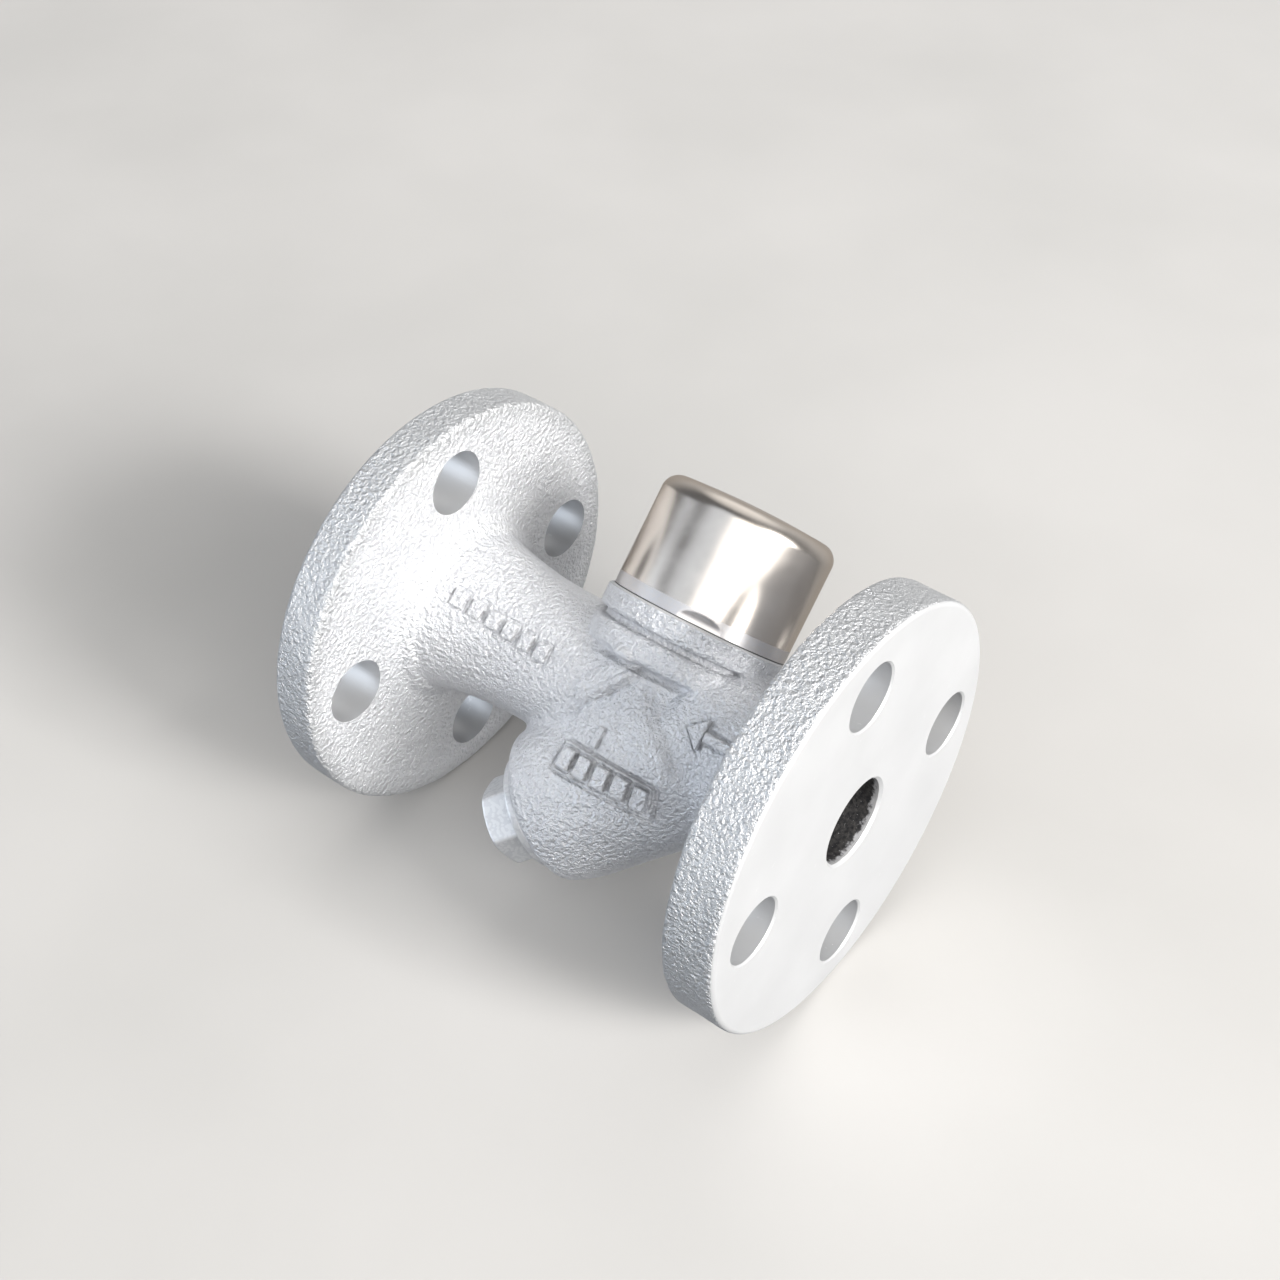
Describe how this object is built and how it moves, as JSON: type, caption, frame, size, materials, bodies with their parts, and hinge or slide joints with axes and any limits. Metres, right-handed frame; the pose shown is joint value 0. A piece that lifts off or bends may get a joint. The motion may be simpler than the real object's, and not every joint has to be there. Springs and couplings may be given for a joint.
{
  "type": "flanged steam trap with strainer",
  "caption": "Flanged disc steam trap: painted casting with an inclined strainer leg and hex plug, a polished cap over a screwed inner cap, and a lifting disc on a seat inside.",
  "frame": {"origin": "centre of the inlet flange's mating face, on the pipe axis", "axes": "+X along the flow from the inlet flange to the outlet flange, +Z along the axis of the cap, up when installed, and the strainer leg points along +X and -Z at 45 degrees"},
  "size_m": [0.147, 0.125, 0.125],
  "materials": {
    "cast_body": "aluminium paint over a sand casting",
    "painted_plug": "aluminium paint over turned steel",
    "polished_cap": "polished drawn stainless",
    "turned_steel": "turned",
    "hard_steel": "ground",
    "bimetal": "rolled strip",
    "screen_steel": "perforated sheet",
    "gasket": "graphite sheet"
  },
  "bodies": {
    "body": {"body_casting": "cast_body", "seat_inner_gasket": "gasket", "seat_outer_gasket": "gasket", "valve_seat": "hard_steel"},
    "bimetal": {"bimetal_ring": "bimetal"},
    "disc": {"valve_disc": "hard_steel"},
    "cap_carrier": {"inner_cap_gasket": "gasket"},
    "cap_screw": {"inner_cap": "turned_steel"},
    "cap_shell": {"outer_cap": "polished_cap"},
    "plug_carrier": {"plug_gasket": "gasket", "strainer_screen": "screen_steel"},
    "plug_screw": {"strainer_plug": "painted_plug"}
  },
  "joints": [
    {"name": "bimetal_lift", "type": "slide", "parent": "body", "child": "bimetal", "axis": [0, 0, 1], "range_m": [0, 0.0008]},
    {"name": "disc_lift", "type": "slide", "parent": "bimetal", "child": "disc", "axis": [0, 0, 1], "range_m": [0, 0.0013]},
    {"name": "cap_travel", "type": "slide", "parent": "body", "child": "cap_carrier", "axis": [0, 0, 1], "range_m": [0, 0.009]},
    {"name": "cap_turn", "type": "hinge", "parent": "cap_carrier", "child": "cap_screw", "pos_m": [0.0647, 0, 0], "axis": [0, 0, 1], "range_deg": [0, 2165]},
    {"name": "shell_pull", "type": "slide", "parent": "cap_screw", "child": "cap_shell", "axis": [0, 0, 1], "range_m": [0, 0.04]},
    {"name": "plug_travel", "type": "slide", "parent": "body", "child": "plug_carrier", "axis": [0.7071, 0, -0.7071], "range_m": [0, 0.0125]},
    {"name": "plug_turn", "type": "hinge", "parent": "plug_carrier", "child": "plug_screw", "pos_m": [0.0437, 0, 0], "axis": [0.7071, 0, -0.7071], "range_deg": [0, 2485]}
  ],
  "couplings": [
    {"joint": "cap_turn", "follows": "cap_travel", "rad_per_m": 4188.8},
    {"joint": "plug_turn", "follows": "plug_travel", "rad_per_m": 3463.7}
  ]
}
